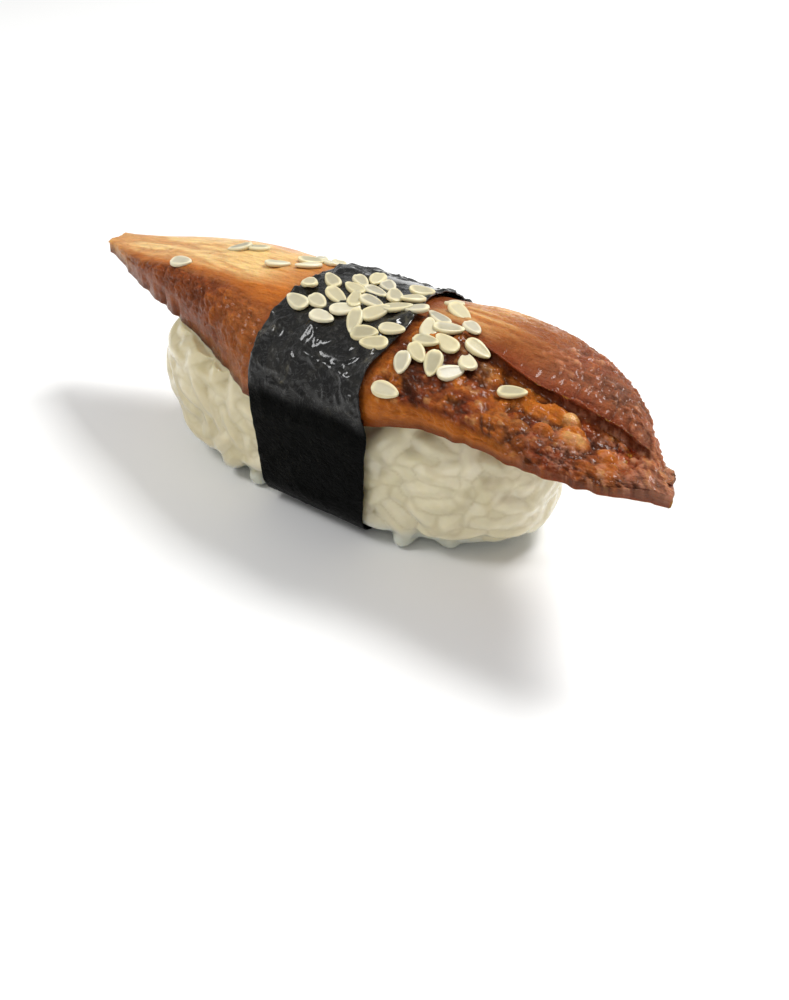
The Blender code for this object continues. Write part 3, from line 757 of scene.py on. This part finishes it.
    def tint(self, settings, points, middle, along, size):
        """Each grain has its own warmth. The creases between grains get a painted shade, the left end a
        painted shade as the side away from the light, and the grains nearest the table turn greyer and bluer.
        A point belongs to the grain whose axis is nearest: its distance over the grain's radius is 1 on the
        surface."""
        draw = np.random.default_rng(72)
        warmth = draw.uniform(0, 1, len(middle))
        reach, radius = size[:, 0] * settings.length / MM / 2 - 1.2, size[:, 1] * settings.width / MM / 2
        nearest, second = np.empty((2, len(points)))
        owner = np.empty(len(points), int)
        for low in range(0, len(points), 4000):
            part = slice(low, low + 4000)
            apart = points[part, None] - middle
            run = np.clip((apart * along).sum(-1), -reach, reach)
            far = np.linalg.norm(apart - run[..., None] * along, axis=-1) / radius
            owner[part] = far.argmin(1)
            nearest[part], second[part] = np.partition(far, 1, axis=1)[:, :2].T
        tint = np.array(settings.colour) * (1 - 0.14 * warmth[owner, None] * np.array((0.8, 0.9, 1.5)))
        return layered(tint, (
            # Painted shade along the creases between the grains
            (settings.crease_and_left_shade, 0.3 * (1 - step(second - nearest, 0.0, 0.2))),
            # Painted shade over the left end, which the light from the right leaves darker
            (settings.crease_and_left_shade, 0.42 * step(-points[:, 0], 4, 14)),
            # Greyer and bluer towards the table
            (settings.foot_grey_and_sheen, 0.8 * (1 - step(points[:, 2] + 1.5 * warmth[owner], 2.0, 4.5)))))


class NIGIRI_OT_eel(Operator):
    """Make the slice of eel: an arch with a tear, a drooping lip, fibres, flakes and crumbs of glaze"""
    bl_idname = "nigiri.eel"
    bl_label = "Eel"

    def execute(self, context):
        settings = context.scene.nigiri_eel
        rings, tint = self.surface(settings)
        finish(skin("eel_slice", rings[None], tint[None]), glazed_eel(settings), "eel", "eel")
        return {"FINISHED"}

    def surface(self, settings):
        """Rings along X. Each goes over the top from the front hem to the back one, then back underneath.
        The top is the torn arch moved along its normal by the relief."""
        x_line = EEL_HALF_LENGTH * np.linspace(-1, 1, settings.columns + 1)
        v = np.linspace(-1, 1, settings.rows + 1)
        share_line = np.sin(0.5 * math.pi * signed_power(v, 1.1))
        x, share = np.meshgrid(x_line, share_line, indexing="ij")
        y = eel_place(x, share)
        top = np.stack([x, y, eel_torn_top(x, share)], -1)
        run = np.cumsum(np.linalg.norm(np.diff(top, axis=1, prepend=top[:, :1]), axis=-1), axis=1)
        run = run - run[:, np.abs(share_line).argmin()][:, None]
        relief, tint = self.relief(settings, x, y, run, share)
        normal = grid_normals(top)
        normal *= np.sign(normal[..., 2:].mean())
        top += normal * relief[..., None]
        lip = torn(x) * hill(share, 0.06, 0.08) * (share > -0.02)
        top[..., 1] -= (1.1 - 0.6 * step(x, 22, 32) + 0.5 * noise(x, y * 0, 2.6, 95)) * lip
        top[..., 2] -= 0.25 * lip
        hem = eased(EEL_HEM, x) + EEL_HEM_THICKNESS
        low = 1 - step((eel_arch(x, share) - hem) / (eased(EEL_CROWN, x) - hem), 0.0, 0.4)
        top[..., 1] += self.fray(x, np.sign(share)) * low
        x_under, share_under = np.meshgrid(x_line, share_line[::-4][1:-1], indexing="ij")
        sag = 0.12 * fractal(x_under, 20 + share_under * 12, 3.0, 91) * (1 - np.abs(share_under))
        edge = self.fray(x_under, np.sign(share_under)) * step(np.abs(share_under), 0.8, 1)
        y_under = eel_place(x_under, share_under) + edge
        under = np.stack([x_under, y_under, eel_under(x_under, share_under) + sag], -1)
        front, back = top[:, :1].copy(), top[:, -1:].copy()
        front[:, 0, 2], back[:, 0, 2] = eel_under(x_line, -1.0), eel_under(x_line, 1.0)
        rings = np.concatenate([top, back, under, front], axis=1)
        plain_shape = (len(x_line), rings.shape[1] - tint.shape[1], 3)
        plain = np.broadcast_to(np.array(settings.brown) * 0.8, plain_shape)
        shares = np.concatenate([share_line, [1.0], share_line[::-4][1:-1], [-1.0]])
        ends = step(np.abs(x_line), 41, 44)[:, None] * np.sign(x_line)[:, None]
        rings[..., 0] -= TIP_SKEW * step(x_line, 34, 44)[:, None] * shares
        bites = np.abs(fractal(rings[..., 1], rings[..., 2], 2.2, 97, 4, 0.6))
        rings[..., 0] -= ends * bites * np.where(x_line > 0, 4.0, 1.6)[:, None]
        rings[[0, -1]] = rings[[0, -1]] * 0.75 + rings[[0, -1]].mean(1, keepdims=True) * 0.25
        return rings, np.concatenate([tint, plain], axis=1)

    def fray(self, x, side):
        """How far the edge is ragged at x, in or out, away from the belt."""
        ragged = 0.5 * fractal(x, 40 * side, 4.5, 11) + 0.28 * noise(x, 9 * side, 1.1, 13)
        return (ragged - 0.15 * side) * step(beside_belt(x, 0 * x - 12), 0.3, 2.5)

    def relief(self, settings, x, y, run, share):
        """The height of fibres, flakes and crumbs over the arch, and the colour that goes with it, with
        painted shade in its hollows and painted highlights on its crests. Patterns run over x and run, the
        distance along the surface from the ridge, so that steep flanks don't stretch them."""
        # Regions, each 0 to 1
        open_air = step(beside_belt(x, y), 0.1, 1.4)
        right, left = step(x, 8, 12), 1 - step(x, -8, -5)
        lobe = right * step(share, -0.02, 0.02)
        front = right * (1 - step(share, -0.03, 0.02))
        far = step(x + 3.0 * fractal(x, run, 5.0, 60), 19, 28)
        wander = 0.07 * fractal(x, run, 4.0, 61)
        edge = eased(((-44, -1.05), (-38, -1.0), (-31, -0.92), (-21, -0.72), (-11, -0.6)), x) + wander
        # The left top: pale flesh, painted lighter as the face turned up to the light
        golden_lit_top = left * step(share, edge - 0.04, edge + 0.12)
        side = left * (1 - golden_lit_top)
        # Patterns
        streaks = fractal(x * 0.13 + run * 0.1, run, 0.8, 63, 4)
        soft = fractal(x * 0.5, run, 4.0, 65, 4)
        rough = fractal(x, run, 1.7, 67, 5, 0.65)
        fine = fractal(x, run, 0.65, 68, 3, 0.7)
        folds = creases(x * 0.8, run, 3.2, 69, 4)
        wrinkle = creases(x, run, 1.4, 73, 3)
        crumb, owner = lumps(x, run * 1.1, 2.3, 71, 0.95)
        bit, bit_owner = lumps(x, run, 1.0, 75, 0.85)
        fade = step(-share, 0.05, 0.12) * (1 - step(-share, 0.5, 0.75))
        nuggets = front * fade * step(x, 22, 26) * (1 - step(x, 35, 39)) * (owner > 0.3)
        # Heights
        bumpy = 0.30 * rough + 0.36 * folds + 0.26 * wrinkle + 0.12 * fine + 0.16 * bit - 0.5
        coarse = 0.34 * rough + 0.40 * wrinkle + 0.20 * fine + 0.20 * bit - 0.38
        fuzzy = 0.26 * rough + 0.22 * folds + 0.20 * wrinkle + 0.20 * fine - 0.34
        smooth = 0.08 * streaks + 0.18 * soft + 0.14 * folds + 0.10 * wrinkle + 0.08 * fine - 0.14
        relief = golden_lit_top * (0.05 * streaks + 0.14 * soft) + side * fuzzy
        relief = relief + lobe * ((1 - far) * smooth + far * coarse) + front * bumpy
        relief = relief + nuggets * 0.8 * crumb
        relief = relief * open_air * step(1 - np.abs(share), 0, 0.004)
        relief = relief * (1 - 0.7 * torn(x) * hill(share, -0.01, 0.03))
        # Colours
        names = ("brown", "dark", "gold_and_highlight", "amber", "tan", "rust", "pink_sheen")
        brown, dark, gold_and_highlight, amber, tan, rust, pink_sheen = (np.array(getattr(settings, name)) for name in names)
        patch = fractal(x, run, 3.0, 81, 4, 0.6)
        other = fractal(x, run, 2.4, 83, 4, 0.6)
        torn_lobe = lobe * far
        # Painted shade: the hollows of the relief, darkened below
        pits = front * step(-bumpy, -0.02, 0.28) + 0.5 * torn_lobe * step(-coarse, -0.04, 0.22)
        pits = pits + 0.5 * side * step(-fuzzy, 0.05, 0.25)
        # Painted highlights: the crests of the relief, lightened below
        lit_peaks = front * step(bumpy, 0.0, 0.3) + torn_lobe * step(coarse, 0.02, 0.3)
        lit_peaks = lit_peaks + side * step(fuzzy, 0.0, 0.25)
        flesh = front + torn_lobe
        tanned = lobe * (1 - far) * step(share + 0.12 * soft, 0.0, 0.3)
        # Where the torn lobe's painted sheen lies, strongest on its crests
        sheen_tips = 0.2 + 0.45 * step(coarse, 0.05, 0.3) * (bit_owner > 0.4)
        colour = layered(brown, (
            (rust, flesh * step(-patch, -0.1, 0.4)),
            (amber, 0.85 * front * step(patch, -0.02, 0.3) * (1 - 0.6 * far)),
            (dark, 0.75 * flesh * step(other, 0.05, 0.4)),
            # Painted highlights on the crests
            (amber, 0.45 * lit_peaks),
            (gold_and_highlight, 0.26 * lit_peaks * (bit_owner > 0.6) * flesh),
            # Painted shade in the hollows
            (dark, 0.8 * pits),
            (amber, 0.9 * nuggets * step(crumb, 0.1, 0.5)),
            (gold_and_highlight, 0.45 * nuggets * (owner > 0.65) * step(crumb, 0.35, 0.8)),
            (dark, 0.75 * front * right * hill(x, 18.0, 3.5) * hill(share, -0.12, 0.2)),
            (amber, 0.9 * front * step(-share, 0.93, 0.995) * (1 - step(x, 22, 32))),
            (tan, tanned * (0.9 + 0.3 * streaks)),
            (gold_and_highlight, tanned * 0.55 * step(streaks + 0.4 * soft, -0.2, 0.4) * hill(x, 13, 7)),
            (rust, 0.7 * tanned * step(x + 3 * soft, 15, 24)),
            # Painted shade in the hollows of the smooth lobe
            (dark, 0.35 * tanned * step(-smooth, 0.0, 0.12) * step(x, 13, 20)),
            (brown, lobe * (1 - far) * step(share, 0.75, 1.0) * 0.8),
            # Painted sheen over the torn lobe, strongest on its crests
            (pink_sheen, torn_lobe * sheen_tips),
            # Painted shadow under the tear's drooping lip
            (dark, torn(x) * hill(share, -0.03, 0.025) * 0.9),
            (rust, 0.85 * torn(x) * hill(share, 0.04, 0.09)),
            (rust, side * 0.5 * step(patch, 0.0, 0.4)),
            (tan, side * 0.3 * step(x, -18, -8))))
        # The left top's colour: pale gold flesh, painted lighter where it faces the light, palest along its
        # streaks as a painted highlight
        pale_and_lit = layered(gold_and_highlight, (
            (amber, 0.5 * step(share, 0.15, 0.8)),
            (amber, 0.55 * step(-streaks - 0.3 * soft, 0.0, 0.5) + 0.7 * step(-x, 37, 43)),
            (amber, 0.95 * hill(share, edge + 0.1, 0.16) + 0.8 * step(x, -15, -8)),
            (brown, 0.85 * step(share + 0.2 * soft, 0.55, 0.95) + 0.5 * hill(share, edge, 0.1))))
        colour = layered(colour + (pale_and_lit - colour) * golden_lit_top[..., None], (
            (gold_and_highlight + (amber - gold_and_highlight) * 0.6, 0.95 * step(-x, 35, 42) * (share < 0.7)),
            # Painted sheen over the right tip, and in flecks over the front's right part
            (pink_sheen, 0.4 * step(x + 4 * fine, 36, 43)),
            (pink_sheen, 0.4 * front * step(x, 24, 34) * step(fine, 0.0, 0.3))))
        return relief, colour


class NIGIRI_OT_nori(Operator):
    """Make the belt of nori round the rice and the slice, wrinkled and thin"""
    bl_idname = "nigiri.nori"
    bl_label = "Nori"

    def execute(self, context):
        """A thin closed strip along the belt's lines. It is wrinkled most where the slice's damp flank lies
        under it, and nearly plain lower down."""
        settings = context.scene.nigiri_nori
        across = np.linspace(-1, 1, settings.columns + 1)
        lines = np.stack([belt_line(float(a), BELT_STEPS) for a in across], 1)
        away = np.stack([outward(line) for line in np.moveaxis(lines, 1, 0)], 1)
        run, wide = np.meshgrid(np.linspace(0, BELT_RUN, BELT_STEPS + 1), 8 * across, indexing="ij")
        damp = step(lines[..., 2] + 1.5 * fractal(run, wide, 5.0, 111), 16.5, 20.5)
        crinkle = 0.8 * (0.72 - creases(run, wide * 0.8, 3.4, 101, 3)) + 0.1 * fractal(run, wide, 1.1, 105, 3)
        crinkle = np.clip(crinkle, -0.02, 0.42)
        crinkle = (0.25 + 0.75 * damp) * crinkle + 0.05 * np.maximum(noise(run, wide, 7.0, 107), 0)
        lines[..., 0] += across * 0.26 * fractal(run, 3.75 * wide, 5.0, 109)
        inner = lines + away * (0.6 * crinkle)[..., None]
        outer = lines + away * (settings.thickness / MM + crinkle)[..., None]
        rings = np.concatenate([outer, inner[:, ::-1]], axis=1)
        wetness = np.concatenate([damp, damp[:, ::-1]], axis=1)[..., None] * np.ones(3)
        finish(skin("nori_belt", rings[None], wetness[None]), roasted_nori(settings), "nori", "nori")
        return {"FINISHED"}


class NIGIRI_OT_sesame(Operator):
    """Strew the white sesame over the belt and the slice"""
    bl_idname = "nigiri.sesame"
    bl_label = "Sesame"

    def execute(self, context):
        settings = context.scene.nigiri_sesame
        spots = []
        for x, y, turn in laid(BELT_SEEDS, 35):
            x = min(max(x, belt_x(-1, y, 26.0) + 1), belt_x(1, y, 26.0) + 0.3)
            z, away = on_belt(x, y)
            spots.append(((x, y, z), turn, away))
        for x, y, turn in laid(EEL_SEEDS, 35):
            if beside_belt(x, y) < 0.4:
                continue
            near_x, near_y = np.array([x, x + 0.5, x]), np.array([y, y, y + 0.5])
            z = eel_torn_top(near_x, eel_share(near_x, near_y))
            rise = 0.15 + 0.35 * step(2 - beside_belt(x, y), 0, 1.5) + 0.7 * (x > 22)
            spots.append(((x, y, z[0] + rise), turn, (2 * (z[0] - z[1]), 2 * (z[0] - z[2]), 1)))
        middle, turn, away = (np.array(part, float) for part in zip(*spots))
        along = np.column_stack([np.cos(turn), np.sin(turn), 0 * turn])
        finish(self.seeds(settings, middle, along, away), hulled_sesame(), "rice")
        return {"FINISHED"}

    def seeds(self, settings, middle, along, away):
        """Flat teardrops: at t from -1 to 1 along a seed the taper is (1 - t^2)^(1/2) (1 - 0.3 t). The width
        goes with it and the thickness with its root, and a rim stands 0.04 mm round a flat middle."""
        draw = np.random.default_rng(90)
        total = len(middle)
        lean = draw.normal(0, 0.12, (total, 2))
        turn = frames(along, away)
        away = unit(away) + turn[:, :, 0] * lean[:, :1] + turn[:, :, 1] * lean[:, 1:]
        turn = frames(along, away)
        t = along_tube(23)
        phi = np.linspace(0, math.tau, 24, endpoint=False)
        size = draw.uniform(0.9, 1.08, (total, 1, 1))
        wide = draw.uniform(0.88, 1.1, (total, 1, 1))
        taper = (np.sqrt(1 - t * t) * (1 - 0.30 * t))[None, :, None]
        x = np.broadcast_to((t * settings.length / MM / 2)[None, :, None] * size, (total, len(t), 24))
        y = taper * np.cos(phi) * wide * settings.width / MM / 2
        side = np.abs(np.cos(phi))[None, None]
        rim = 0.76 + 0.34 * hill(side, 0.78, 0.2)
        z = np.sqrt(taper) * np.sign(np.sin(phi)) * np.sqrt(1 - side ** 4) * rim * settings.thickness / MM / 2
        z = z + 0.08 * (t * t)[None, :, None]
        local = np.stack([x, y, np.broadcast_to(z, x.shape)], -1)
        points = np.einsum("nij,nabj->nabi", turn, local) + middle[:, None, None]
        flat = (1 - step(side, 0.5, 0.85)) * (1 - step(np.abs(t), 0.55, 0.9))[None, :, None]
        tint = blended(np.array(settings.rim), settings.middle, flat * draw.uniform(0.35, 1.0, (total, 1, 1)))
        tint = tint * (1 - 0.14 * draw.uniform(0, 1, (total, 1, 1, 1)) * np.array((0.3, 0.6, 1.8)))
        return skin("sesame_seeds", points, tint)


class NIGIRI_OT_stage(Operator):
    """Set the floor, the lights and the camera"""
    bl_idname = "nigiri.stage"
    bl_label = "Stage"

    def execute(self, context):
        settings = context.scene.nigiri_stage
        scene = context.scene
        scene.view_settings.view_transform = "Standard"
        self.floor(settings)
        world = bpy.data.worlds.new("surround")
        scene.world = world
        world.use_nodes = True
        dress(world.node_tree.nodes["Background"], Color=(1, 1, 1, 1), Strength=settings.surround)
        self.light("key", settings.key, KEY_PLACE, KEY_SIZE)
        self.light("fill", settings.fill, FILL_PLACE, FILL_SIZE)
        camera = bpy.data.cameras.new("camera")
        camera.sensor_width = 36
        camera.lens = CAMERA_LENS
        camera.clip_start = 0.01
        scene.camera = placed("camera", camera)
        scene.camera.location = CAMERA_PLACE
        scene.camera.rotation_euler = (math.radians(CAMERA_TILT), 0, math.radians(CAMERA_TURN))
        return {"FINISHED"}

    def floor(self, settings):
        """A square floor, its top just under the rice."""
        mesh = bpy.data.meshes.new("floor")
        half = FLOOR_HALF_SIZE
        corners = [(-half, -half, 0), (half, -half, 0), (half, half, 0), (-half, half, 0)]
        mesh.from_pydata(corners, [], [(0, 1, 2, 3)])
        look = bpy.data.materials.new("matt_board")
        look.use_nodes = True
        dress(look.node_tree.nodes["Principled BSDF"], Base_Color=(*settings.floor, 1), Roughness=0.6)
        mesh.materials.append(look)
        placed("floor", mesh)

    def light(self, name, power, place, size):
        """A square light at a place, turned to the part."""
        data = bpy.data.lights.new(name, "AREA")
        data.energy = power
        data.size = size
        made = placed(name, data)
        made.location = place
        made.rotation_euler = (Vector(LIGHTS_AIM) - Vector(place)).to_track_quat("-Z", "Y").to_euler()


PIECES = (NIGIRI_OT_rice, NIGIRI_OT_eel, NIGIRI_OT_nori, NIGIRI_OT_sesame, NIGIRI_OT_stage)


class NIGIRI_PT_panel(Panel):
    bl_idname = "NIGIRI_PT_panel"
    bl_label = "Eel Nigiri"
    bl_space_type = "VIEW_3D"
    bl_region_type = "UI"
    bl_category = "Nigiri"

    def draw(self, context):
        for operator, (group, settings) in zip(PIECES, GROUPS.items()):
            box = self.layout.box()
            box.operator(operator.bl_idname)
            for name in settings.__annotations__:
                box.prop(getattr(context.scene, "nigiri_" + group), name)


def register():
    for name, group in GROUPS.items():
        bpy.utils.register_class(group)
        setattr(bpy.types.Scene, "nigiri_" + name, PointerProperty(type=group))
    for cls in (*PIECES, NIGIRI_PT_panel):
        bpy.utils.register_class(cls)


def unregister():
    for cls in (NIGIRI_PT_panel, *PIECES[::-1]):
        bpy.utils.unregister_class(cls)
    for name, group in GROUPS.items():
        delattr(bpy.types.Scene, "nigiri_" + name)
        bpy.utils.unregister_class(group)


def main():
    register()
    bpy.ops.nigiri.stage()
    bpy.ops.nigiri.rice()
    bpy.ops.nigiri.eel()
    bpy.ops.nigiri.nori()
    bpy.ops.nigiri.sesame()


if __name__ == "__main__":
    main()
